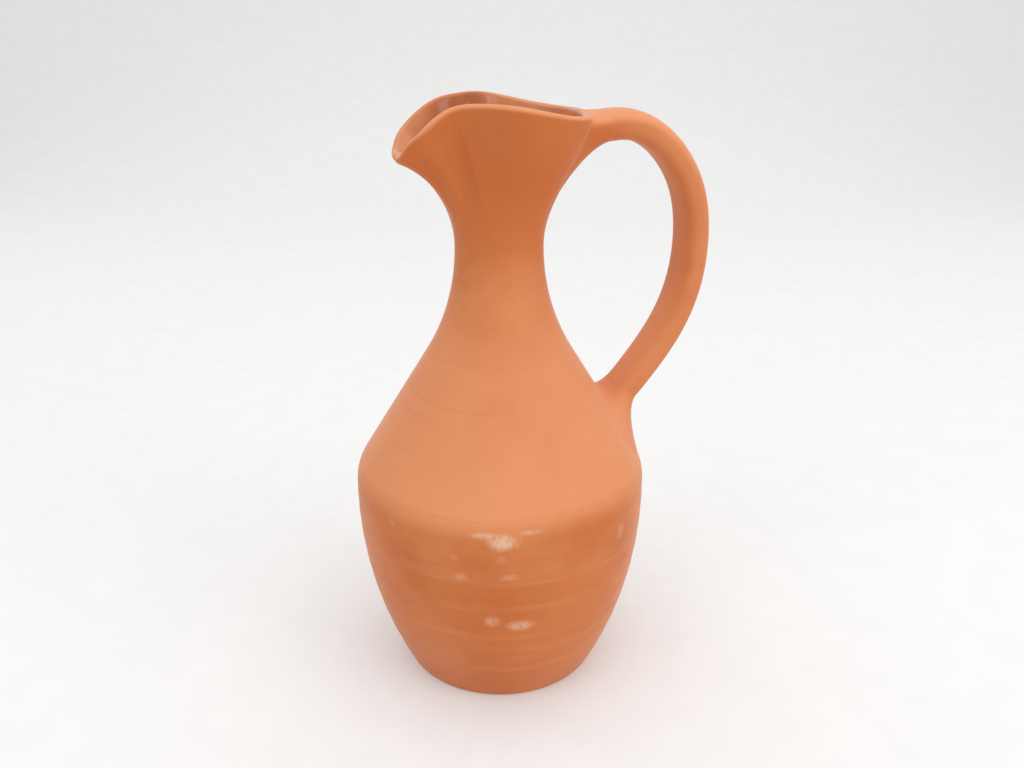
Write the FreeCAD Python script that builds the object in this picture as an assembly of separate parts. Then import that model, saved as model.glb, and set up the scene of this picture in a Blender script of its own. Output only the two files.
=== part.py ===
import FreeCAD, Part
import math
import os

Vector = FreeCAD.Vector

# Ceramic pitcher: a thrown body with a pinched spout, and a pulled strap handle.
# Millimetres. +Z is up, the handle is towards +X and the spout towards -X.
# The origin is the centre of the flat base.

# Vessel profile: radius and height pairs and arc radii in a half plane through the axis
BELLY_CENTRE = (-132.2, 93.0)
BELLY_ARC = 203.4
HEEL_ROUND = 2.5
RIDGE_ROUND = 20.0
SHOULDER_LEAN = math.radians(31.8)
NECK_RADIUS = 20.4
NECK_HEIGHT = 215.6
NECK_ARC = 98.0

# Rim crest from the handle to the spout tip: x, y, z, lean of the wall outwards from
# upright in degrees, and how far down the wall keeps that lean
RIM = [
    (38.0, 0.0, 274.4, 12.0, 20.0),
    (34.8, 19.5, 273.9, 13.0, 20.0),
    (21.0, 34.8, 275.6, 15.0, 20.0),
    (1.0, 36.4, 279.5, 16.0, 20.0),
    (-14.0, 25.6, 280.1, 12.0, 20.0),
    (-25.0, 20.0, 278.2, 12.0, 18.0),
    (-37.8, 20.0, 268.8, 24.0, 15.0),
    (-42.6, 16.6, 263.8, 36.0, 12.0),
    (-45.4, 12.0, 258.6, 58.0, 11.5),
    (-46.4, 0.0, 256.8, 72.0, 12.0),
]
FLARE_START = 20.0

WALL = 4.2
FLOOR = 6.0
FLOOR_ROUND = 12.0
GLAZE = 0.5

# Handle strap: centre line in the XZ plane, from inside the rim to inside the shoulder
HANDLE_LINE = [
    (35.0, 266.2),
    (47.0, 266.9),
    (60.0, 267.3),
    (72.0, 262.3),
    (83.0, 251.6),
    (91.1, 236.2),
    (94.4, 216.0),
    (93.2, 197.0),
    (87.8, 178.0),
    (79.7, 162.7),
    (69.2, 148.0),
    (59.6, 136.9),
    (52.4, 130.9),
]
STRAP_THICKNESS = 13.9
STRAP_THINNING = 1.9
STRAP_WIDTH = 24.6
STRAP_SQUARENESS = 2.7

# Luting slip and the clay smoothed around each end of the handle
SLIP = 0.8
COIL_STEP = 0.3
COIL_LENGTH = 12.0
COIL_SINK = 0.5
COIL_DEPTH = 2.0

# Foot of the lower coil on the shoulder, measured down the slope from the joint
SHOULDER_JOINT_HEIGHT = 131.9
LOWER_COIL_MIDDLE = 10.0
LOWER_COIL_REACH = 22.0
LOWER_COIL_HALF_WIDTH = 26.0
LOWER_COIL_FULLNESS = 3.2

# Foot of the upper coil on the flare: share of the way up it, and of a full turn
UPPER_COIL_MIDDLE = 0.7
UPPER_COIL_REACH = 0.3
UPPER_COIL_HALF_TURN = 0.115
UPPER_COIL_SQUARENESS = 3.6
UPPER_COIL_FULLNESS = 4.5

# Fineness of the surface nets
COLUMNS = 48
STRAP_COLUMNS = 24
STRAP_ROWS = 40


# ---------------------------------------------------------------- nets and solids

def sharpened(points, closed):
    """Poles whose cubic spline passes through the given points."""
    count = len(points)
    poles = []
    for index, point in enumerate(points):
        if not closed and index in (0, count - 1):
            poles.append(point)
            continue
        before = points[index - 1]
        after = points[(index + 1) % count]
        poles.append(point - (before - point * 2 + after) / 6)
    return poles


def net_surface(rows):
    """A cubic surface through rows of points, each row a closed ring."""
    rings = [sharpened(row, True) for row in rows]
    columns = [sharpened(list(column), False) for column in zip(*rings)]
    spans = len(rows) - 3
    surface = Part.BSplineSurface()
    surface.buildFromPolesMultsKnots(
        columns,
        [1] * (len(columns) + 1),
        [4] + [1] * (spans - 1) + [4],
        [float(k) for k in range(len(columns) + 1)],
        [float(k) for k in range(spans + 1)],
        True,
        False,
        3,
        3,
    )
    return surface


def ring_edges(face):
    """The closed edges at the two ends of a tube-like face, low parameter first."""
    def height(edge):
        return face.Surface.parameter(edge.valueAt(edge.FirstParameter))[1]

    return sorted((edge for edge in face.Edges if edge.isClosed()), key=height)


def solid_from(faces):
    shell = Part.Shell(faces)
    shell.sewShape()
    solid = Part.Solid(shell)
    if solid.Volume < 0:
        solid.reverse()
    return solid


def net_solid(rows):
    """A solid wrapped by a net, with flat ends."""
    face = net_surface(rows).toShape()
    ends = [Part.Face(Part.Wire([edge])) for edge in ring_edges(face)]
    return solid_from([face] + ends)


def largest(shape):
    return max(shape.Solids, key=lambda solid: solid.Volume)


def blend(start, end, share):
    return start + (end - start) * share


# ---------------------------------------------------------------- vessel

def arc(centre, radius, start, end, steps):
    """Points on an arc in the half plane, including both ends; angles in radians."""
    angles = [start + (end - start) * k / steps for k in range(steps + 1)]
    return [(centre[0] + radius * math.cos(a), centre[1] + radius * math.sin(a)) for a in angles]


def ridge_centre():
    """Centre of the ridge rounding, which touches the belly arc and the shoulder cone."""
    normal = (math.cos(SHOULDER_LEAN), math.sin(SHOULDER_LEAN))
    neck_centre = (NECK_RADIUS + NECK_ARC, NECK_HEIGHT)
    inset = NECK_ARC + RIDGE_ROUND
    foot = (neck_centre[0] - inset * normal[0], neck_centre[1] - inset * normal[1])
    along = (normal[1], -normal[0])
    offset = (foot[0] - BELLY_CENTRE[0], foot[1] - BELLY_CENTRE[1])
    half = offset[0] * along[0] + offset[1] * along[1]
    reach = (BELLY_ARC - RIDGE_ROUND) ** 2 - offset[0] ** 2 - offset[1] ** 2
    step = -half + math.sqrt(half * half + reach)
    return (foot[0] + step * along[0], foot[1] + step * along[1])


def inner_corner():
    """Centre of the inside floor rounding, and the angle where it meets the belly wall."""
    height = FLOOR + FLOOR_ROUND
    reach = BELLY_ARC - WALL - FLOOR_ROUND
    angle = math.asin((height - BELLY_CENTRE[1]) / reach)
    return (BELLY_CENTRE[0] + reach * math.cos(angle), height), angle


def lower_profile():
    """Outside of the base, belly, shoulder and neck, from the base up."""
    ridge = ridge_centre()
    reach = BELLY_ARC - HEEL_ROUND
    heel_angle = math.asin((HEEL_ROUND - BELLY_CENTRE[1]) / reach)
    heel = (BELLY_CENTRE[0] + reach * math.cos(heel_angle), HEEL_ROUND)
    ridge_angle = math.atan2(ridge[1] - BELLY_CENTRE[1], ridge[0] - BELLY_CENTRE[0])
    neck = (NECK_RADIUS + NECK_ARC, NECK_HEIGHT)
    heel_arc = arc(heel, HEEL_ROUND, -math.pi / 2, heel_angle, 4)
    belly_arc = arc(BELLY_CENTRE, BELLY_ARC, heel_angle, ridge_angle, 14)
    ridge_arc = arc(ridge, RIDGE_ROUND, ridge_angle, SHOULDER_LEAN, 5)
    neck_arc = arc(neck, NECK_ARC, math.pi + SHOULDER_LEAN, math.pi, 9)
    low, high = ridge_arc[-1], neck_arc[0]
    steps = 8
    shares = [k / steps for k in range(1, steps)]
    cone = [(blend(low[0], high[0], share), blend(low[1], high[1], share)) for share in shares]
    return heel_arc + belly_arc[1:] + ridge_arc[1:] + cone + neck_arc


def ring(radius, height):
    angles = [2 * math.pi * k / COLUMNS for k in range(COLUMNS)]
    return [Vector(radius * math.cos(a), radius * math.sin(a), height) for a in angles]


def rim_curves():
    """Closed curves of the rim crest, and of its lean and reach, at shared parameters."""
    half = RIM + [(x, -y, z, lean, reach) for x, y, z, lean, reach in RIM[-2:0:-1]]
    crest = [Vector(*row[:3]) for row in half]
    steps = [0.0]
    for here, there in zip(crest, crest[1:] + crest[:1]):
        steps.append(steps[-1] + (there - here).Length)
    parameters = [step / steps[-1] for step in steps]
    curves = []
    for points in (crest, [Vector(row[3], row[4], 0) for row in half]):
        curve = Part.BSplineCurve()
        curve.interpolate(Points=points, PeriodicFlag=True, Parameters=parameters)
        curves.append(curve)
    return curves


CREST, WALL_STYLE = rim_curves()


def rim_frame(turn):
    """Crest point, the wall's upward direction and its outward normal at a turn, 0 to 1."""
    turn = turn % 1.0
    crest = CREST.value(turn)
    along = CREST.tangent(turn)[0]
    lean = math.radians(WALL_STYLE.value(turn).x)
    outward = Vector(along.y, -along.x, 0).normalize()
    rise = Vector(0, 0, math.cos(lean)) + outward * math.sin(lean)
    rise = (rise - along * rise.dot(along)).normalize()
    return crest, rise, along.cross(rise)


def flare_point(turn, share):
    """Outside of the flare: share 0 is the narrow neck, share 1 the start of the lip."""
    crest, rise, normal = rim_frame(turn)
    angle = 2 * math.pi * turn
    neck = Vector(NECK_RADIUS * math.cos(angle), NECK_RADIUS * math.sin(angle), NECK_HEIGHT)
    edge = crest + (normal - rise) * (WALL / 2)
    first = neck + Vector(0, 0, FLARE_START)
    second = edge - rise * WALL_STYLE.value(turn % 1.0).y
    left = 1 - share
    low = neck * left ** 3 + first * (3 * left ** 2 * share)
    high = second * (3 * left * share ** 2) + edge * share ** 3
    return low + high


def outside_rows():
    rows = [ring(radius, height) for radius, height in lower_profile()]
    steps = 14
    for step in range(1, steps + 1):
        rows.append([flare_point(k / COLUMNS, step / steps) for k in range(COLUMNS)])
    return rows


def row_normals(rows):
    """Outward normals of a net whose rings run counter-clockwise and upwards."""
    normals = []
    for index, row in enumerate(rows):
        below = rows[max(index - 1, 0)]
        above = rows[min(index + 1, len(rows) - 1)]
        normals.append([])
        for k in range(len(row)):
            around = row[(k + 1) % len(row)] - row[k - 1]
            normals[-1].append(around.cross(above[k] - below[k]).normalize())
    return normals


OUTSIDE = outside_rows()
NORMALS = row_normals(OUTSIDE)


def shifted(distance):
    return [[p + n * distance for p, n in zip(*pair)] for pair in zip(OUTSIDE, NORMALS)]


def wall_rows(grow):
    """Rings up the outside, over the lip and down the inside, moved out of the clay by grow."""
    outside = shifted(grow)
    lip = []
    steps = 8
    for step in range(1, steps):
        angle = math.pi * step / steps
        lip.append([])
        for k in range(COLUMNS):
            normal = NORMALS[-1][k]
            rise = rim_frame(k / COLUMNS)[1]
            spoke = normal * math.cos(angle) + rise * math.sin(angle)
            lip[-1].append(OUTSIDE[-1][k] - normal * (WALL / 2) + spoke * (WALL / 2 + grow))
    centre, meeting = inner_corner()
    limit = centre[1] + FLOOR_ROUND * math.sin(meeting) + 2
    inside = [row for row in reversed(shifted(-WALL - grow)) if row[0].z > limit]
    corner = arc(centre, FLOOR_ROUND - grow, meeting, -math.pi / 2, 5)
    return outside + lip + inside + [ring(radius, height) for radius, height in corner], len(outside)


def body():
    return net_solid(wall_rows(0)[0])


def grown_wall():
    """The wall thickened by the slip, which parts the handle from the body."""
    return net_solid(wall_rows(SLIP)[0])


def inner_glaze():
    """A skin on the inner face of the body, from the lip to the floor."""
    faces = []
    for grow in (0, GLAZE):
        rows, outside = wall_rows(grow)
        surface = net_surface(rows)
        last = surface.bounds()[3]
        lip_start = float(outside + 4)
        surface.segment(0, COLUMNS, lip_start, last)
        faces.append(surface.toShape())
    rings = [ring_edges(face) for face in faces]
    floors = [Part.Face(Part.Wire([pair[1]])) for pair in rings]
    edge = Part.makeRuledSurface(rings[0][0], rings[1][0])
    return solid_from(faces + floors + edge.Faces)


# ---------------------------------------------------------------- handle

def handle_curve():
    curve = Part.BSplineCurve()
    curve.interpolate([Vector(x, 0, z) for x, z in HANDLE_LINE])
    return curve


def oval(squareness):
    """Points of a unit oval; a squareness of 2 is a circle and more is closer to a square."""
    points = []
    for k in range(STRAP_COLUMNS):
        angle = 2 * math.pi * k / STRAP_COLUMNS
        pair = (math.cos(angle), math.sin(angle))
        points.append([math.copysign(abs(v) ** (2 / squareness), v) for v in pair])
    return points


def strap_ring(curve, parameter, grow=0.0):
    """The strap's oval section: thickness across the loop, width along Y."""
    share = parameter / (curve.LastParameter - curve.FirstParameter)
    thickness = STRAP_THICKNESS - STRAP_THINNING * share
    centre = curve.value(parameter)
    along = curve.tangent(parameter)[0]
    outer = Vector(-along.z, 0, along.x)
    points = []
    for thick, wide in oval(STRAP_SQUARENESS):
        reach = outer * (thick * (thickness / 2 + grow))
        points.append(centre + reach + Vector(0, wide * (STRAP_WIDTH / 2 + grow), 0))
    return points


def strap():
    curve = handle_curve()
    low, high = curve.FirstParameter, curve.LastParameter
    parameters = [low + (high - low) * k / STRAP_ROWS for k in range(STRAP_ROWS + 1)]
    return net_solid([strap_ring(curve, parameter) for parameter in parameters])


def fillet_rows(start, corner, foot, steps=7):
    """Rows of a fillet that leaves the strap at start, heads for corner and ends at foot."""
    rows = []
    for step in range(steps + 1):
        share = step / steps
        rows.append([
            a * (1 - share) ** 2 + b * (2 * share * (1 - share)) + c * share ** 2
            for a, b, c in zip(start, corner, foot)
        ])
    return rows


def coil_blank(start, corner, foot, normals, end):
    """A flared collar round the strap; its foot dives into the wall and closes at end."""
    sunk = [p - n * COIL_SINK for p, n in zip(foot, normals)]
    deep = [p - n * COIL_DEPTH for p, n in zip(foot, normals)]
    middle = [blend(p, q, 0.5) for p, q in zip(deep, end)]
    return net_solid(fillet_rows(start, corner, sunk) + [deep, middle, end])


def parameter_near(curve, x, z):
    return curve.parameter(Vector(x, 0, z))


def lower_radius(height):
    """Outside radius between the belly and the neck arc."""
    ridge = ridge_centre()
    shoulder_low = ridge[1] + RIDGE_ROUND * math.sin(SHOULDER_LEAN)
    if height < shoulder_low:
        return ridge[0] + math.sqrt(RIDGE_ROUND ** 2 - (height - ridge[1]) ** 2)
    low = ridge[0] + RIDGE_ROUND * math.cos(SHOULDER_LEAN)
    return low - (height - shoulder_low) * math.tan(SHOULDER_LEAN)


def shoulder_point(along, across):
    """Point and outward normal, measured on the shoulder from the middle of the joint."""
    height = SHOULDER_JOINT_HEIGHT + along * math.cos(SHOULDER_LEAN)
    radius = lower_radius(height)
    angle = across / radius
    slope = (lower_radius(height - 0.1) - lower_radius(height + 0.1)) / 0.2
    point = Vector(radius * math.cos(angle), radius * math.sin(angle), height)
    return point, Vector(math.cos(angle), math.sin(angle), slope).normalize()


def lower_coil_blank():
    curve = handle_curve()
    joint = shoulder_point(0, 0)[0]
    meeting = parameter_near(curve, joint.x, joint.z)
    station = curve.parameterAtDistance(-COIL_LENGTH, meeting)
    start = strap_ring(curve, station, COIL_STEP)
    end = strap_ring(curve, curve.LastParameter)
    corner, foot, normals = [], [], []
    for k in range(STRAP_COLUMNS):
        angle = 2 * math.pi * k / STRAP_COLUMNS
        down, side = math.cos(angle), math.sin(angle)
        edge = start[k] - curve.value(station)
        across = edge.y
        along = -edge.dot(Vector(math.sin(SHOULDER_LEAN), 0, -math.cos(SHOULDER_LEAN)))
        point, normal = shoulder_point(along, across)
        corner.append(point + normal * (LOWER_COIL_FULLNESS * (1 + down)))
        slope_down = LOWER_COIL_MIDDLE + LOWER_COIL_REACH * down
        point, normal = shoulder_point(-slope_down, LOWER_COIL_HALF_WIDTH * side * (1 + 0.15 * down))
        foot.append(point)
        normals.append(normal)
    return coil_blank(start, corner, foot, normals, end)


def flare_normal(turn, share):
    step = 0.01
    around = flare_point(turn + step, share) - flare_point(turn - step, share)
    upwards = flare_point(turn, min(share + step, 1)) - flare_point(turn, share - step)
    return around.cross(upwards).normalize()


def upper_coil_blank():
    curve = handle_curve()
    joint = flare_point(0, 0.9)
    meeting = parameter_near(curve, joint.x, HANDLE_LINE[0][1])
    station = curve.parameterAtDistance(COIL_LENGTH, meeting)
    start = strap_ring(curve, station, COIL_STEP)
    end = strap_ring(curve, curve.FirstParameter)
    corner, foot, normals = [], [], []
    edges = strap_ring(curve, meeting, COIL_STEP)
    for edge, (up, side) in zip(edges, oval(UPPER_COIL_SQUARENESS)):
        top = max(up, 0) ** 2
        corner.append(edge + Vector(1 - abs(side), UPPER_COIL_FULLNESS * side, 0))
        turn = UPPER_COIL_HALF_TURN * side * (1 + 0.1 * up)
        share = UPPER_COIL_MIDDLE + UPPER_COIL_REACH * up
        normal = flare_normal(turn, share)
        rise = rim_frame(turn)[1]
        foot.append(flare_point(turn, share) + (rise * 2.0 - normal * 1.5) * top)
        normals.append((normal + rise * (3 * top)).normalize())
    return coil_blank(start, corner, foot, normals, end)


def main():
    os.makedirs("parts", exist_ok=True)
    vessel = body()
    grown = grown_wall()
    whole = strap()
    joints = [joint for joint in whole.common(grown).cut(vessel).Solids if joint.Volume > 10]
    joints.sort(key=lambda joint: joint.BoundBox.ZMin)
    nodes = {
        "body": vessel,
        "inner_glaze": inner_glaze(),
        "handle": largest(whole.cut(grown)),
        "handle_lower_slip": joints[0],
        "handle_upper_slip": joints[-1],
        "handle_lower_coil": largest(lower_coil_blank().cut(vessel).cut(whole)),
        "handle_upper_coil": largest(upper_coil_blank().cut(vessel).cut(whole)),
    }
    for name, shape in nodes.items():
        print(name, shape.isValid(), len(shape.Solids), round(shape.Volume), shape.optimalBoundingBox())
        shape.exportStep("parts/" + name + ".step")


main()
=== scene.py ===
import math

import bpy
import numpy as np
from mathutils import Matrix, Vector


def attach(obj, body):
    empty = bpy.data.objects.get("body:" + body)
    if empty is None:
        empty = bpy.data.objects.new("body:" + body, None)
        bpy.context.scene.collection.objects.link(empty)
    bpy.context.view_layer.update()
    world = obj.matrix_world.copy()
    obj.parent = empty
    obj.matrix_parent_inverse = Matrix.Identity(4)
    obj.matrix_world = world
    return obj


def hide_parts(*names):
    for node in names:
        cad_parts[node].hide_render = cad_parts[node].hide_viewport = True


# A hand-thrown terracotta pitcher: body with a pinched spout, pulled strap handle, clear-glazed
# inside. Shapes are worked out in millimetres in the frame's axes and become metres in add_mesh.
# The vessel's and the handle's dimensions are those of the CAD part, with finer surfaces.

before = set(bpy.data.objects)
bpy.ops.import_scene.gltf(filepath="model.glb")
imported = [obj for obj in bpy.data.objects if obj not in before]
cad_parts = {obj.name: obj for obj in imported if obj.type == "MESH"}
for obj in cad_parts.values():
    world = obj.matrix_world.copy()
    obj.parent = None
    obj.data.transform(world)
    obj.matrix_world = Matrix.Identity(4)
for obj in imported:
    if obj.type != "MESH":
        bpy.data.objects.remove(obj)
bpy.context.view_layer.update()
MM = 0.001

# Vessel profile: radius and height pairs and arc radii in a half plane through the axis
BELLY_CENTRE = (-132.2, 93.0)
BELLY_ARC = 203.4
HEEL_ROUND = 2.5
RIDGE_ROUND = 20.0
SHOULDER_LEAN = math.radians(31.8)
NECK_RADIUS = 20.4
NECK_HEIGHT = 215.6
NECK_ARC = 98.0
WALL = 4.2
FLOOR = 6.0
FLOOR_ROUND = 12.0

# Rim crest from the handle to the spout tip: x, y, z, lean of the wall outwards from
# upright in degrees, and how far down the wall keeps that lean
RIM = [
    (38.0, 0.0, 274.4, 12.0, 20.0),
    (34.8, 19.5, 273.9, 13.0, 20.0),
    (21.0, 34.8, 275.6, 15.0, 20.0),
    (1.0, 36.4, 279.5, 16.0, 20.0),
    (-14.0, 25.6, 280.1, 12.0, 20.0),
    (-25.0, 20.0, 278.2, 12.0, 18.0),
    (-37.8, 20.0, 268.8, 24.0, 15.0),
    (-42.6, 16.6, 263.8, 36.0, 12.0),
    (-45.4, 12.0, 258.6, 58.0, 11.5),
    (-46.4, 0.0, 256.8, 72.0, 12.0),
]
FLARE_START = 20.0

# Thickness of the glaze over the clay and under its surface, and where it starts on the lip,
# turned from the outside over the crest
GLAZE_PROUD = 0.35
GLAZE_SUNK = 0.3
GLAZE_START = math.radians(122)

# A thrower's marks: rise of the wide and the fine rings in one turn, and their depths on the
# belly and on the shoulder
WIDE_MARK_RISE = 11.3
FINE_MARK_RISE = 3.7
BELLY_MARKS = (0.10, 0.02)
SHOULDER_MARKS = (0.025, 0.005)

# How far the wall wanders from round, as shares of its radius: an oval and a sideways lean
OVAL_WANDER = 0.0028
SIDE_WANDER = 0.0012

# Handle strap: centre line in the XZ plane, from inside the rim to inside the shoulder
HANDLE_LINE = [
    (35.0, 266.2),
    (47.0, 266.9),
    (60.0, 267.3),
    (72.0, 262.3),
    (83.0, 251.6),
    (91.1, 236.2),
    (94.4, 216.0),
    (93.2, 197.0),
    (87.8, 178.0),
    (79.7, 162.7),
    (69.2, 148.0),
    (59.6, 136.9),
    (52.4, 130.9),
]
STRAP_THICKNESS = 13.9
STRAP_THINNING = 1.9
STRAP_WIDTH = 24.6
STRAP_SQUARENESS = 2.7

# How much of its line the strap leaves out at the rim and at the shoulder, to end in the wall
STRAP_TOP_CUT = 3.4
STRAP_FOOT_CUT = 1.0

# Clay smoothed around each end of the handle: how far along the strap it starts, how far its
# edges sink into the clay they meet, and how deep and how narrow it ends inside
LOWER_COIL_LENGTH = 13.0
UPPER_COIL_LENGTH = 12.0
COIL_SINK = 0.12
COIL_DEPTH = 2.0
COIL_END_SHRINK = 1.0

# Foot of the lower coil on the shoulder, measured down the slope from the joint
SHOULDER_JOINT_HEIGHT = 131.9
LOWER_COIL_MIDDLE = 10.0
LOWER_COIL_REACH = 22.0
LOWER_COIL_HALF_WIDTH = 26.0
LOWER_COIL_SPREAD = 0.15
LOWER_COIL_FULLNESS = 3.2

# Foot of the upper coil on the flare: share of the way up it, and of a full turn
UPPER_COIL_MIDDLE = 0.7
UPPER_COIL_REACH = 0.3
UPPER_COIL_HALF_TURN = 0.115
UPPER_COIL_SPREAD = 0.1
UPPER_COIL_SQUARENESS = 3.6
UPPER_COIL_FULLNESS = 4.5
UPPER_COIL_LIFT = 2.0
UPPER_COIL_TUCK = 1.5

# Fineness of the surfaces
BODY_COLUMNS = 224
STRAP_COLUMNS = 96
STRAP_ROWS = 200

# Camera, in millimetres and degrees: it stands in front and a little to the spout's side
CAMERA_TURN = math.radians(14.0)
CAMERA_PITCH = math.radians(22.08)
CAMERA_BACK = 426.6
CAMERA_SIDE = 5.9
CAMERA_HEIGHT = 319.6
CAMERA_LENS = 33.4
CAMERA_SENSOR = 36.0

# Studio, in metres and watts: each softbox has a name, place, target, size and power
WORLD_COLOUR = (1.0, 0.995, 0.985, 1)
WORLD_STRENGTH = 0.62
SOFTBOXES = [
    ("overhead", (0.0, -0.1, 1.8), (0, 0, 0.1), (2.6, 2.6), 22),
    ("key", (-1.2, -1.1, 1.1), (0, 0, 0.12), (1.0, 1.0), 3),
    ("fill", (1.4, -0.8, 0.6), (0, 0, 0.15), (1.0, 1.0), 7),
]


# ---------------------------------------------------------------- meshes

def add_mesh(name, points):
    """A closed skin over rows of rings, in millimetres, with its two ends filled."""
    rows, columns = points.shape[:2]
    ends = np.array([points[0].mean(0), points[-1].mean(0)])
    vertices = np.vstack([points.reshape(-1, 3), ends]) * MM
    faces = []
    for row in range(rows - 1):
        for column in range(columns):
            after = (column + 1) % columns
            low, high = row * columns, (row + 1) * columns
            faces.append((low + column, low + after, high + after, high + column))
    last = (rows - 1) * columns
    for column in range(columns):
        after = (column + 1) % columns
        faces.append((after, column, rows * columns))
        faces.append((last + column, last + after, rows * columns + 1))
    mesh = bpy.data.meshes.new(name)
    mesh.from_pydata(vertices.tolist(), [], faces)
    mesh.validate()
    mesh.shade_smooth()
    piece = bpy.data.objects.new(name, mesh)
    bpy.context.scene.collection.objects.link(piece)
    return piece


def inner_rings(ring, shares=(0.25, 0.5, 0.75, 0.93)):
    """Rings that fill a flat end, from its middle outwards."""
    middle = ring.mean(0)
    return np.array([middle + (ring - middle) * share for share in shares])


def capped(rows):
    return np.concatenate([inner_rings(rows[0]), rows, inner_rings(rows[-1])[::-1]])


def spline(knots, values, closed):
    """A cubic spline through values at knots; returns a function of the parameter."""
    knots, values = np.asarray(knots, float), np.asarray(values, float)
    steps = np.diff(knots)
    count = len(values) if closed else len(values) - 1
    system = np.eye(len(values))
    known = np.zeros_like(values)
    for i in range(len(values)):
        if not closed and i in (0, len(values) - 1):
            continue
        left, right = steps[i - 1], steps[i]
        after = (i + 1) % len(values)
        system[i, i] = 2 * (left + right)
        system[i, i - 1] = left
        system[i, after] = right
        known[i] = 6 * ((values[after] - values[i]) / right - (values[i] - values[i - 1]) / left)
    bends = np.linalg.solve(system, known)

    def at(parameter):
        parameter = np.asarray(parameter, float)
        if closed:
            parameter = parameter % knots[-1]
        span = np.clip(np.searchsorted(knots, parameter, side="right") - 1, 0, count - 1)
        after = (span + 1) % len(values)
        width = steps[span][..., None]
        a = (knots[span + 1] - parameter)[..., None]
        b = (parameter - knots[span])[..., None]
        return (
            (bends[span] * a ** 3 + bends[after] * b ** 3) / (6 * width)
            + (values[span] / width - bends[span] * width / 6) * a
            + (values[after] / width - bends[after] * width / 6) * b
        )

    return at


def unit(vectors):
    return vectors / np.linalg.norm(vectors, axis=-1, keepdims=True)


# ---------------------------------------------------------------- vessel

def arc(centre, radius, start, end, spacing=1.0):
    steps = max(int(abs(end - start) * radius / spacing), 8)
    angles = np.linspace(start, end, steps + 1)
    return np.stack([centre[0] + radius * np.cos(angles), centre[1] + radius * np.sin(angles)], -1)


def ridge_centre():
    """Centre of the ridge rounding, which touches the belly arc and the shoulder cone."""
    normal = np.array([math.cos(SHOULDER_LEAN), math.sin(SHOULDER_LEAN)])
    foot = np.array([NECK_RADIUS + NECK_ARC, NECK_HEIGHT]) - (NECK_ARC + RIDGE_ROUND) * normal
    along = np.array([normal[1], -normal[0]])
    offset = foot - BELLY_CENTRE
    half = offset @ along
    reach = (BELLY_ARC - RIDGE_ROUND) ** 2 - offset @ offset
    return foot + (math.sqrt(half * half + reach) - half) * along


RIDGE = ridge_centre()


def lower_profile():
    """Radius and height of the outside from the base up to the narrow neck."""
    reach = BELLY_ARC - HEEL_ROUND
    heel_angle = math.asin((HEEL_ROUND - BELLY_CENTRE[1]) / reach)
    heel = (BELLY_CENTRE[0] + reach * math.cos(heel_angle), HEEL_ROUND)
    ridge_angle = math.atan2(RIDGE[1] - BELLY_CENTRE[1], RIDGE[0] - BELLY_CENTRE[0])
    neck = (NECK_RADIUS + NECK_ARC, NECK_HEIGHT)
    heel_arc = arc(heel, HEEL_ROUND, -math.pi / 2, heel_angle, 0.4)
    belly_arc = arc(BELLY_CENTRE, BELLY_ARC, heel_angle, ridge_angle)
    ridge_arc = arc(RIDGE, RIDGE_ROUND, ridge_angle, SHOULDER_LEAN, 0.7)
    neck_arc = arc(neck, NECK_ARC, math.pi + SHOULDER_LEAN, math.pi)
    cone = np.linspace(ridge_arc[-1], neck_arc[0], 66)
    return np.concatenate([heel_arc, belly_arc[1:], ridge_arc[1:], cone[1:-1], neck_arc])


def rim_splines():
    rim = np.array(RIM)
    mirrored = rim[-2:0:-1] * [1, -1, 1, 1, 1]
    around = np.concatenate([rim, mirrored])
    steps = np.linalg.norm(np.roll(around[:, :3], -1, 0) - around[:, :3], axis=1)
    knots = np.concatenate([[0], np.cumsum(steps) / steps.sum()])
    return spline(knots, around[:, :3], True), spline(knots, around[:, 3:], True)


CREST, WALL_STYLE = rim_splines()


def rim_frame(turn):
    """Crest, upward direction and outward normal of the rim at a turn, 0 to 1."""
    turn = np.asarray(turn, float)
    step = 1e-4
    crest = CREST(turn)
    along = unit(CREST(turn + step) - CREST(turn - step))
    lean = np.radians(WALL_STYLE(turn)[..., :1])
    outward = unit(np.stack([along[..., 1], -along[..., 0], np.zeros_like(turn)], -1))
    rise = np.array([0, 0, 1]) * np.cos(lean) + outward * np.sin(lean)
    rise = unit(rise - along * (along * rise).sum(-1, keepdims=True))
    return crest, rise, np.cross(along, rise)


def flare_point(turn, share):
    """Outside of the flare: share 0 is the narrow neck, share 1 the start of the lip."""
    turn, share = np.broadcast_arrays(np.asarray(turn, float), np.asarray(share, float))
    crest, rise, normal = rim_frame(turn)
    angle = 2 * math.pi * turn
    around = [NECK_RADIUS * np.cos(angle), NECK_RADIUS * np.sin(angle)]
    neck = np.stack(around + [0 * angle + NECK_HEIGHT], -1)
    edge = crest + (normal - rise) * (WALL / 2)
    first = neck + [0, 0, FLARE_START]
    second = edge - rise * WALL_STYLE(turn)[..., 1:]
    share = share[..., None]
    left = 1 - share
    lower = neck * left ** 3 + first * (3 * left ** 2 * share)
    return lower + second * (3 * left * share ** 2) + edge * share ** 3


def ring(radius, height):
    angles = np.linspace(0, 2 * math.pi, BODY_COLUMNS, endpoint=False)
    return np.stack([radius * np.cos(angles), radius * np.sin(angles), 0 * angles + height], -1)


def grid_normals(rows):
    around = np.roll(rows, -1, 1) - np.roll(rows, 1, 1)
    return unit(np.cross(around, np.gradient(rows, axis=0)))


TURNS = np.arange(BODY_COLUMNS) / BODY_COLUMNS
FLARE_ROWS = np.array([flare_point(TURNS, share) for share in np.linspace(0, 1, 66)[1:]])
OUTSIDE = np.concatenate([np.array([ring(r, z) for r, z in lower_profile()]), FLARE_ROWS])
NORMALS = grid_normals(OUTSIDE)


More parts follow.
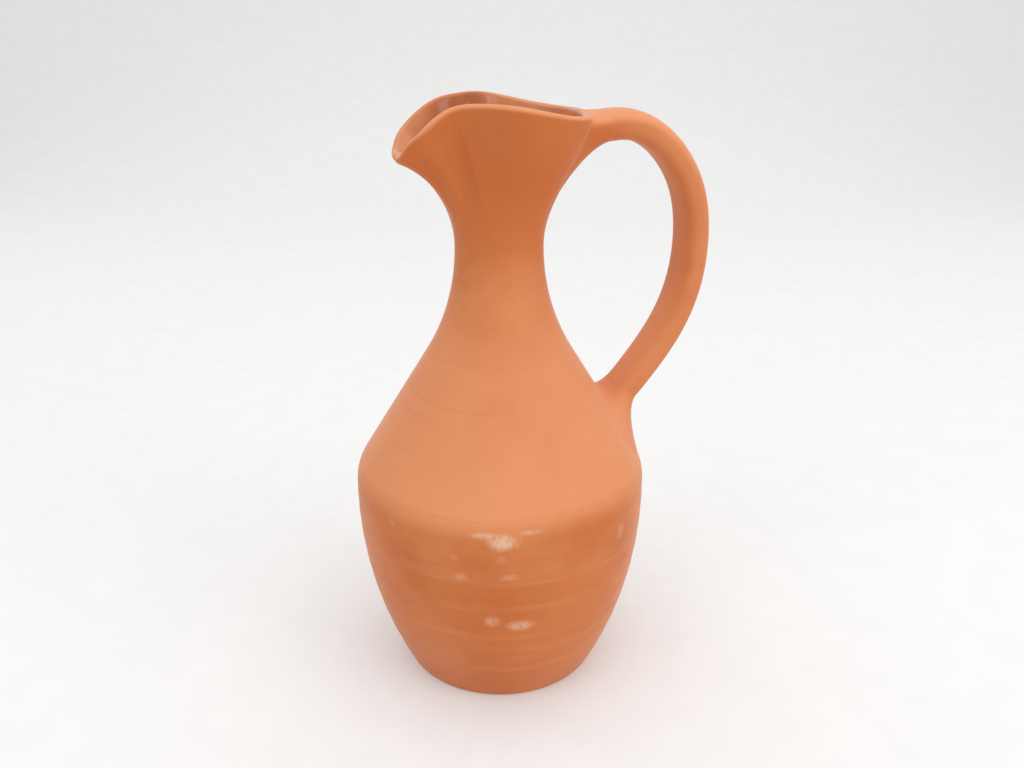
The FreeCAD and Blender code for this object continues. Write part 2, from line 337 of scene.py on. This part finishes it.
def turning_marks(rows):
    """Depth of the soft spiral rings that a thrower's fingers leave, in millimetres."""
    height = rows[..., 2]
    turn = np.arctan2(rows[..., 1], rows[..., 0]) / (2 * math.pi)
    belly = np.clip((height - 6) / 12, 0, 1) * np.clip((104 - height) / 10, 0, 1)
    upper = np.clip((height - 112) / 10, 0, 1) * np.clip((196 - height) / 40, 0, 1)
    wide = 0.5 + 0.5 * np.sin(2 * math.pi * (height / WIDE_MARK_RISE + turn) + 1.7 * np.sin(height / 17))
    fine = 0.5 + 0.5 * np.sin(2 * math.pi * (height / FINE_MARK_RISE - turn) + 2.1 * np.sin(height / 9))
    on_belly = belly * (BELLY_MARKS[0] * wide + BELLY_MARKS[1] * fine)
    return on_belly + upper * (SHOULDER_MARKS[0] * wide + SHOULDER_MARKS[1] * fine)


def hand_made(points):
    """The slight wander of a hand-thrown wall, always towards the axis and none at the base."""
    x, y, z = np.moveaxis(points, -1, 0)
    angle = np.arctan2(y, x)
    oval_squeeze = OVAL_WANDER * (0.5 + 0.5 * np.sin(2 * angle + z / 37))
    side_squeeze = SIDE_WANDER * (0.5 + 0.5 * np.sin(angle - z / 23))
    fade = np.clip(z / 10, 0, 1)
    scale = 1 - (oval_squeeze + side_squeeze) * fade
    return np.stack([x * scale, y * scale, z], -1)


def wall_rows(grow, lip_angles):
    """Rings of the outside, the lip and the inside; grow moves the last two out of the clay."""
    marks = turning_marks(OUTSIDE)[..., None]
    outside = OUTSIDE - NORMALS * marks
    rise = rim_frame(TURNS)[1]
    middle = OUTSIDE[-1] - NORMALS[-1] * (WALL / 2)
    lip = []
    for angle in lip_angles:
        spoke = NORMALS[-1] * math.cos(angle) + rise * math.sin(angle)
        lip.append(middle + spoke * (WALL / 2 + grow))
    reach = BELLY_ARC - WALL - FLOOR_ROUND
    height = FLOOR + FLOOR_ROUND
    meeting = math.asin((height - BELLY_CENTRE[1]) / reach)
    centre = (BELLY_CENTRE[0] + reach * math.cos(meeting), height)
    corner = arc(centre, FLOOR_ROUND - grow, meeting, -math.pi / 2)
    inside = (OUTSIDE - NORMALS * (WALL + grow) + NORMALS * marks)[::-1]
    inside = inside[inside[:, 0, 2] > corner[0][1] + 0.5]
    corner_rows = np.array([ring(r, z) for r, z in corner])
    return outside, np.array(lip), np.concatenate([inside, corner_rows])


def make_body():
    outside, lip, inside = wall_rows(0, np.linspace(0, math.pi, 15)[1:-1])
    return add_mesh("body", hand_made(capped(np.concatenate([outside, lip, inside]))))


def make_glaze():
    """A thin glassy skin over the inside, feathered out on the inner side of the lip."""
    angles = np.linspace(GLAZE_START, math.pi, 12)[:-1]
    sheets = []
    for grow in (-GLAZE_SUNK, GLAZE_PROUD):
        _, lip, inside = wall_rows(grow, angles)
        sheets.append(np.concatenate([lip, inside]))
    under, top = sheets
    feather = 9
    edge = np.linspace(0, 1, feather)[:, None, None]
    thinned = under[:feather] * 0.6 + top[:feather] * 0.4
    top[:feather] = thinned * (1 - edge) + top[:feather] * edge
    return add_mesh("inner_glaze", hand_made(capped(np.concatenate([under[::-1], top]))))


# ---------------------------------------------------------------- handle

def handle_spline():
    line = np.array([(x, 0, z) for x, z in HANDLE_LINE])
    steps = np.linalg.norm(np.diff(line, axis=0), axis=1)
    knots = np.concatenate([[0], np.cumsum(steps)])
    return spline(knots, line, False), knots[-1]


HANDLE, HANDLE_LENGTH = handle_spline()


def strap_frame(distance):
    """Centre of the strap and direction out of the handle's loop."""
    step = 0.05
    along = unit(HANDLE(distance + step) - HANDLE(distance - step))
    outer = np.stack([-along[..., 2], 0 * along[..., 1], along[..., 0]], -1)
    return HANDLE(distance), outer


def oval(squareness):
    """A unit oval; a squareness of 2 is a circle and more is closer to a square."""
    angles = np.linspace(0, 2 * math.pi, STRAP_COLUMNS, endpoint=False)
    pair = np.array([np.cos(angles), np.sin(angles)])
    return np.sign(pair) * np.abs(pair) ** (2 / squareness)


def strap_ring(distance, grow=0.0):
    """The strap's oval section: thickness across the loop, width along Y."""
    centre, outer = strap_frame(np.float64(distance))
    thick, wide = oval(STRAP_SQUARENESS)
    half_thickness = (STRAP_THICKNESS - STRAP_THINNING * distance / HANDLE_LENGTH) / 2 + grow
    half_width = STRAP_WIDTH / 2 + grow
    across = np.array([0, 1, 0]) * (wide * half_width)[:, None]
    return centre + outer * (thick * half_thickness)[:, None] + across


def make_handle():
    distances = np.linspace(STRAP_TOP_CUT, HANDLE_LENGTH - STRAP_FOOT_CUT, STRAP_ROWS)
    rows = np.array([strap_ring(distance) for distance in distances])
    return add_mesh("handle", hand_made(capped(rows)))


def nearest_distance(point):
    """How far along the strap's centre line it comes nearest to a point."""
    distances = np.linspace(0, HANDLE_LENGTH, 2000)
    return distances[np.linalg.norm(HANDLE(distances) - point, axis=1).argmin()]


def lower_radius(height):
    """Outside radius of the ridge and the shoulder cone."""
    low = RIDGE + RIDGE_ROUND * np.array([math.cos(SHOULDER_LEAN), math.sin(SHOULDER_LEAN)])
    rounded = RIDGE[0] + np.sqrt(np.maximum(RIDGE_ROUND ** 2 - (height - RIDGE[1]) ** 2, 0))
    cone = low[0] - (height - low[1]) * math.tan(SHOULDER_LEAN)
    return np.where(height < low[1], rounded, cone)


def shoulder_point(along, across):
    """Point and outward normal, measured on the shoulder from the middle of the joint."""
    height = SHOULDER_JOINT_HEIGHT + along * math.cos(SHOULDER_LEAN)
    radius = lower_radius(height)
    angle = across / radius
    slope = (lower_radius(height - 0.1) - lower_radius(height + 0.1)) / 0.2
    point = np.stack([radius * np.cos(angle), radius * np.sin(angle), height], -1)
    return point, unit(np.stack([np.cos(angle), np.sin(angle), slope], -1))


def smoothed_clay(name, start, corner, foot, normals, end):
    """A collar from the strap, curving onto the wall and closing inside the clay."""
    shares = np.linspace(0, 1, 42)[:, None, None]
    sunk = foot - normals * COIL_SINK
    rows = start * (1 - shares) ** 2 + corner * (2 * shares * (1 - shares)) + sunk * shares ** 2
    deep = foot - normals * COIL_DEPTH
    buried = np.array([deep, (deep + end) / 2, end])
    return add_mesh(name, hand_made(capped(np.concatenate([rows, buried]))))


def make_lower_coil():
    meeting = nearest_distance(shoulder_point(np.float64(0), np.float64(0))[0])
    station = meeting - LOWER_COIL_LENGTH
    centre = HANDLE(np.float64(station))
    start = strap_ring(station, -COIL_SINK)
    end = strap_ring(HANDLE_LENGTH - STRAP_FOOT_CUT, -COIL_END_SHRINK)
    down, side = oval(2)
    edge = start - centre
    up_slope = np.array([-math.sin(SHOULDER_LEAN), 0, math.cos(SHOULDER_LEAN)])
    corner, normals = shoulder_point(edge @ up_slope, edge[:, 1])
    corner = corner + normals * (LOWER_COIL_FULLNESS + LOWER_COIL_FULLNESS * down)[:, None]
    slope_down = LOWER_COIL_MIDDLE + LOWER_COIL_REACH * down
    across = LOWER_COIL_HALF_WIDTH * side * (1 + LOWER_COIL_SPREAD * down)
    foot, normals = shoulder_point(-slope_down, across)
    return smoothed_clay("handle_lower_coil", start, corner, foot, normals, end)


def flare_normal(turn, share):
    """Outward normal of the flare, which stops at the lip."""
    step = 0.005
    around = flare_point(turn + step, share) - flare_point(turn - step, share)
    upwards = flare_point(turn, np.minimum(share + step, 1)) - flare_point(turn, share - step)
    return unit(np.cross(around, upwards))


def make_upper_coil():
    joint = flare_point(0, 0.9)
    meeting = nearest_distance(joint * [1, 1, 0] + [0, 0, HANDLE_LINE[0][1]])
    start = strap_ring(meeting + UPPER_COIL_LENGTH, -COIL_SINK)
    end = strap_ring(STRAP_TOP_CUT, -COIL_END_SHRINK)
    up, side = oval(UPPER_COIL_SQUARENESS)
    fullness = np.stack([1 - np.abs(side), UPPER_COIL_FULLNESS * side, 0 * side], -1)
    corner = strap_ring(meeting) + fullness
    top = (np.maximum(up, 0) ** 2)[:, None]
    turn = UPPER_COIL_HALF_TURN * side * (1 + UPPER_COIL_SPREAD * up)
    share = UPPER_COIL_MIDDLE + UPPER_COIL_REACH * up
    normals, rise = flare_normal(turn, share), rim_frame(turn)[1]
    over_lip = (rise * UPPER_COIL_LIFT - normals * UPPER_COIL_TUCK) * top
    foot = flare_point(turn, share) + over_lip
    normals = unit(normals + rise * 3 * top)
    return smoothed_clay("handle_upper_coil", start, corner, foot, normals, end)


# ---------------------------------------------------------------- materials

CLAY = (0.62, 0.195, 0.057, 1)
# Deep clay: random tone, and also the painted shade on the flare
DEEP_CLAY = (0.54, 0.135, 0.029, 1)
# Pale clay: used for wipes and on the handle side, and as painted light on surfaces that face up
PALE_CLAY = (0.76, 0.30, 0.135, 1)
DARK_CLAY = (0.42, 0.10, 0.025, 1)
CHALK = (0.80, 0.56, 0.40, 1)
SHEEN_TINT = (1.0, 0.93, 0.86, 1)
WET_CLAY = (0.37, 0.095, 0.022, 1)
BRIGHT_WET_CLAY = (0.50, 0.14, 0.038, 1)
POOLED_GLAZE = (0.68, 0.29, 0.13, 1)
# Painted light on the glaze by the lip
PAINTED_LIP_LIGHT = (0.72, 0.29, 0.125, 1)
# Painted shade deep in the throat
PAINTED_THROAT_SHADE = (0.24, 0.06, 0.02, 1)
PAPER_GREYS = [(0.69, 0.69, 0.69, 1), (0.705, 0.705, 0.705, 1)]
WHITE = (1, 1, 1, 1)


class Shader:
    """Shorthand for one material's node tree."""

    def __init__(self, name):
        self.material = bpy.data.materials.new(name)
        self.material.use_nodes = True
        self.tree = self.material.node_tree
        self.surface = self.tree.nodes["Principled BSDF"]
        coordinates = self.add("ShaderNodeTexCoord")
        self.place = coordinates.outputs["Object"]
        self.turned = coordinates.outputs["Normal"]

    def add(self, kind, settings=None, sockets=None):
        node = self.tree.nodes.new(kind)
        for key, value in (settings or {}).items():
            setattr(node, key, value)
        for key, value in (sockets or {}).items():
            self.put(node.inputs[key], value)
        return node

    def put(self, socket, value):
        if isinstance(value, bpy.types.NodeSocket):
            self.tree.links.new(value, socket)
        else:
            socket.default_value = value

    def noise(self, scale, detail=3.0, rough=0.5, stretch=(1, 1, 1), tilt=(0, 0, 0)):
        """Noise in object space, from 0 to 1; scale is in features per metre."""
        sockets = {"Vector": self.place, "Scale": stretch, "Rotation": tilt}
        stretched = self.add("ShaderNodeMapping", None, sockets).outputs[0]
        sockets = {"Vector": stretched, "Scale": scale, "Detail": detail, "Roughness": rough}
        return self.add("ShaderNodeTexNoise", None, sockets).outputs["Fac"]

    def vector(self, operation, first, second):
        settings = {"operation": operation}
        return self.add("ShaderNodeVectorMath", settings, {0: first, 1: second}).outputs[0]

    def length(self, value):
        settings = {"operation": "LENGTH"}
        return self.add("ShaderNodeVectorMath", settings, {0: value}).outputs["Value"]

    def part(self, value, axis):
        return self.add("ShaderNodeSeparateXYZ", None, {0: value}).outputs[axis]

    def math(self, operation, first, second=0.0, third=0.0):
        settings = {"operation": operation}
        return self.add("ShaderNodeMath", settings, {0: first, 1: second, 2: third}).outputs[0]

    def ramp(self, value, low, high, start=0.0, end=1.0):
        """start where the value is low, end where it is high, smooth between."""
        settings = {"interpolation_type": "SMOOTHSTEP"}
        sockets = {"Value": value, "From Min": low, "From Max": high, "To Min": start, "To Max": end}
        return self.add("ShaderNodeMapRange", settings, sockets).outputs[0]

    def mix(self, share, first, second):
        settings = {"data_type": "RGBA", "blend_type": "MIX"}
        return self.add("ShaderNodeMix", settings, {0: share, 6: first, 7: second}).outputs[2]

    def bump(self, height, distance, below=None):
        sockets = {"Height": height, "Distance": distance, "Strength": 1.0}
        if below is not None:
            sockets["Normal"] = below
        return self.add("ShaderNodeBump", None, sockets).outputs[0]


# Chalky smudges: degrees round the axis, height, half width and half height in millimetres,
# and strength
SMUDGES = [
    (-102, 101, 9, 5, 0.75),
    (-109, 104, 9, 2, 0.5),
    (-92, 105, 8, 1.5, 0.35),
    (-103, 92, 4, 3, 0.3),
    (-101, 83, 5, 3, 0.4),
    (-120, 92, 3, 3, 0.35),
    (-118, 82, 5, 3, 0.3),
    (-107, 58, 6, 5, 0.45),
    (-95, 55, 9, 4, 0.5),
    (-147, 100, 4, 4, 0.3),
    (-51, 90, 4, 6, 0.3),
    (64, 78, 10, 5, 0.4),
    (158, 60, 6, 4, 0.3),
]
SMUDGE_RADIUS = 69  # of the belly, where most of them are


def chalk(shader):
    """How chalky the surface is, from 0 to 1: a few rubbed patches and scattered specks."""
    scuffs = shader.noise(420.0, 3.0, 0.7, (1, 1, 0.6), (0, 0.7, 0))
    grit = shader.noise(55.0, 2.0)
    amount = 0.0
    for turn, height, half_width, half_height, strength in SMUDGES:
        angle = math.radians(turn)
        centre = (SMUDGE_RADIUS * math.cos(angle), SMUDGE_RADIUS * math.sin(angle), height)
        centre = Vector(centre) * MM
        offset = shader.vector("SUBTRACT", shader.place, centre)
        size = (1 / (half_width * MM), 1 / (half_width * MM), 1 / (half_height * MM))
        away = shader.length(shader.vector("MULTIPLY", offset, size))
        ragged = shader.math("MULTIPLY_ADD", grit, 1.6, away)
        patch = shader.ramp(ragged, 1.9, 1.0, 0, strength)
        amount = shader.math("MAXIMUM", amount, patch)
    rubbed = shader.math("MULTIPLY", amount, shader.ramp(scuffs, 0.34, 0.56, 0.45, 1.0))
    cells = shader.add("ShaderNodeTexVoronoi", None, {"Vector": shader.place, "Scale": 75.0})
    dots = shader.ramp(cells.outputs["Distance"], 0.055, 0.02)
    specks = shader.math("MULTIPLY", dots, shader.ramp(grit, 0.56, 0.66, 0, 0.5))
    return shader.math("MAXIMUM", rubbed, specks)


def terracotta():
    """Matte orange clay: redder on the flare as painted shade, paler where it faces up as painted light
    from above, wiped and chalky.
    """
    shader = Shader("terracotta")
    clouds = shader.noise(17.0, 4.0, 0.55)
    blush = shader.noise(9.0, 2.0, 0.5, (1, 1, 0.45))
    wipes = shader.noise(8.0, 3.0, 0.6, (1, 1, 18), (0.2, 0.14, 0))
    rings = shader.noise(7.0, 2.0, 0.6, (1, 1, 70), (-0.02, 0.015, 0))
    grain = shader.noise(1100.0, 3.0, 0.6)
    height = shader.part(shader.place, "Z")
    across = shader.part(shader.place, "X")
    facing_up = shader.part(shader.turned, "Z")
    above_foot, below_neck = shader.ramp(height, 0.0, 0.02), shader.ramp(height, 0.225, 0.17)
    thrown = shader.math("MULTIPLY", above_foot, below_neck)
    colour = shader.mix(shader.ramp(clouds, 0.3, 0.7), DEEP_CLAY, CLAY)
    colour = shader.mix(shader.ramp(blush, 0.5, 0.7, 0, 0.35), colour, DEEP_CLAY)
    # Painted shade: the flare, away from the handle, is darkened and reddened towards the deep clay
    # colour
    upper_half, off_handle = shader.ramp(height, 0.17, 0.25), shader.ramp(across, 0.046, 0.03)
    flare = shader.math("MULTIPLY", upper_half, off_handle)
    colour = shader.mix(shader.math("MULTIPLY", flare, 0.75), colour, DEEP_CLAY)
    colour = shader.mix(shader.ramp(across, 0.044, 0.060, 0, 0.3), colour, PALE_CLAY)
    # Painted light: surfaces that face up are paled towards the pale clay, with some random variation,
    # as if lit from above
    painted_top_light = shader.math("MULTIPLY_ADD", clouds, 0.5, facing_up)
    colour = shader.mix(shader.ramp(painted_top_light, 0.15, 0.95, 0, 0.85), colour, PALE_CLAY)
    patchy = shader.math("MULTIPLY", thrown, shader.ramp(blush, 0.4, 0.6))
    pale_wipes = shader.math("MULTIPLY", patchy, shader.ramp(wipes, 0.5, 0.75, 0, 0.26))
    colour = shader.mix(pale_wipes, colour, PALE_CLAY)
    dark_rings = shader.math("MULTIPLY", thrown, shader.ramp(rings, 0.42, 0.28, 0, 0.10))
    colour = shader.mix(dark_rings, colour, DARK_CLAY)
    colour = shader.mix(shader.ramp(grain, 0.42, 0.3, 0, 0.12), colour, DARK_CLAY)
    chalky = chalk(shader)
    colour = shader.mix(chalky, colour, CHALK)
    shader.put(shader.surface.inputs["Base Color"], colour)
    rough = shader.math("MAXIMUM", shader.ramp(grain, 0.3, 0.7, 0.55, 0.72), chalky)
    shader.put(shader.surface.inputs["Roughness"], rough)
    shader.surface.inputs["Specular IOR Level"].default_value = 0.28
    shader.surface.inputs["Sheen Weight"].default_value = 0.24
    shader.surface.inputs["Sheen Roughness"].default_value = 0.35
    shader.surface.inputs["Sheen Tint"].default_value = SHEEN_TINT
    normal = shader.bump(shader.math("MULTIPLY", wipes, thrown), 0.00012)
    normal = shader.bump(shader.math("MULTIPLY", rings, thrown), 0.00008, normal)
    normal = shader.bump(grain, 0.00004, normal)
    shader.put(shader.surface.inputs["Normal"], normal)
    return shader.material


def clear_glaze():
    """Clear glaze over the clay: deepened and wet, with painted light paling it by the lip and painted
    shade darkening it in the throat.
    """
    shader = Shader("clear_glaze")
    clouds = shader.noise(24.0, 4.0, 0.55)
    pools = shader.noise(70.0, 3.0, 0.6)
    height = shader.part(shader.place, "Z")
    colour = shader.mix(shader.ramp(clouds, 0.3, 0.7), WET_CLAY, BRIGHT_WET_CLAY)
    colour = shader.mix(shader.ramp(pools, 0.52, 0.68, 0, 0.5), colour, POOLED_GLAZE)
    # Painted shade: the glaze darkens lower down in the throat
    colour = shader.mix(shader.ramp(height, 0.266, 0.235, 0, 0.6), colour, PAINTED_THROAT_SHADE)
    # Painted light: the glaze pales towards the lip, where the inside is wider
    radius = shader.length(shader.vector("MULTIPLY", shader.place, (1, 1, 0)))
    near_lip = shader.math("MULTIPLY_ADD", clouds, 0.004, radius)
    colour = shader.mix(shader.ramp(near_lip, 0.030, 0.040, 0, 0.75), colour, PAINTED_LIP_LIGHT)
    shader.put(shader.surface.inputs["Base Color"], colour)
    shader.put(shader.surface.inputs["Roughness"], shader.ramp(pools, 0.3, 0.7, 0.16, 0.28))
    shader.surface.inputs["IOR"].default_value = 1.45
    ripple = shader.noise(75.0, 2.0, 0.5, (1, 1, 1.3))
    shader.put(shader.surface.inputs["Normal"], shader.bump(ripple, 0.0006))
    return shader.material


def paper():
    """Pale paper with a soft glow that is stronger near the pitcher."""
    shader = Shader("paper_sweep")
    fibre = shader.noise(40.0, 2.0)
    colour = shader.mix(shader.ramp(fibre, 0.3, 0.7), *PAPER_GREYS)
    shader.put(shader.surface.inputs["Base Color"], colour)
    shader.surface.inputs["Roughness"].default_value = 0.9
    shader.surface.inputs["Emission Color"].default_value = WHITE
    glow = shader.ramp(shader.length(shader.place), 1.9, 1.2, 0.09, 0.17)
    shader.put(shader.surface.inputs["Emission Strength"], glow)
    return shader.material


# ---------------------------------------------------------------- stage, light and camera

def make_sweep():
    """A seamless paper floor that curves up behind the pitcher."""
    front, back, bend, top, half_width, bend_steps = -1.6, 1.1, 0.7, 2.4, 2.6, 12
    profile = [(front, 0.0), (back, 0.0)]
    for step in range(1, bend_steps + 1):
        angle = math.pi / 2 * step / bend_steps
        profile.append((back + bend * math.sin(angle), bend * (1 - math.cos(angle))))
    profile.append((back + bend, top))
    vertices = [(side * half_width, y, z) for y, z in profile for side in (-1, 1)]
    starts = range(0, 2 * len(profile) - 2, 2)
    faces = [(start, start + 1, start + 3, start + 2) for start in starts]
    mesh = bpy.data.meshes.new("paper_sweep")
    mesh.from_pydata(vertices, [], faces)
    mesh.shade_smooth()
    mesh.transform(Matrix.Rotation(-CAMERA_TURN, 4, "Z"))
    mesh.materials.append(paper())
    sweep = bpy.data.objects.new("paper_sweep", mesh)
    bpy.context.scene.collection.objects.link(sweep)


def aim(thing, target):
    direction = Vector(target) - thing.location
    thing.rotation_euler = direction.to_track_quat("-Z", "Y").to_euler()


def add_softbox(name, place, target, size, power):
    light = bpy.data.lights.new(name, "AREA")
    light.shape = "RECTANGLE"
    light.size, light.size_y = size
    light.energy = power
    softbox = bpy.data.objects.new(name, light)
    bpy.context.scene.collection.objects.link(softbox)
    softbox.location = Matrix.Rotation(-CAMERA_TURN, 3, "Z") @ Vector(place)
    aim(softbox, target)


def add_world():
    world = bpy.data.worlds.new("studio")
    world.use_nodes = True
    background = world.node_tree.nodes["Background"]
    background.inputs["Color"].default_value = WORLD_COLOUR
    background.inputs["Strength"].default_value = WORLD_STRENGTH
    bpy.context.scene.world = world


def add_camera():
    camera = bpy.data.objects.new("camera", bpy.data.cameras.new("camera"))
    bpy.context.scene.collection.objects.link(camera)
    camera.data.lens = CAMERA_LENS
    camera.data.sensor_width = CAMERA_SENSOR
    camera.data.clip_start = 0.01
    turn = Matrix.Rotation(-CAMERA_TURN, 3, "Z")
    camera.location = turn @ Vector((CAMERA_SIDE, -CAMERA_BACK, CAMERA_HEIGHT)) * MM
    camera.rotation_euler = (math.pi / 2 - CAMERA_PITCH, 0, -CAMERA_TURN)
    bpy.context.scene.camera = camera


# ---------------------------------------------------------------- the object

def main():
    clay, glass = terracotta(), clear_glaze()
    makers = {
        "body": (make_body, clay, "terracotta"),
        "handle": (make_handle, clay, "terracotta"),
        "handle_lower_coil": (make_lower_coil, clay, "terracotta"),
        "handle_upper_coil": (make_upper_coil, clay, "terracotta"),
        "inner_glaze": (make_glaze, glass, "clear_glaze"),
    }
    for node, (make, material, slot) in makers.items():
        piece = make()
        piece.name = "clay_" + node if slot == "terracotta" else "glassy_" + node
        piece.data.materials.append(material)
        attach(piece, "root")
        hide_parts(node)
    for node in ("handle_lower_slip", "handle_upper_slip"):
        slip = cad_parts[node]
        slip.data.materials.clear()
        slip.data.materials.append(clay)
    make_sweep()
    add_world()
    for softbox in SOFTBOXES:
        add_softbox(*softbox)
    add_camera()
    bpy.context.scene.view_settings.view_transform = "Standard"


main()
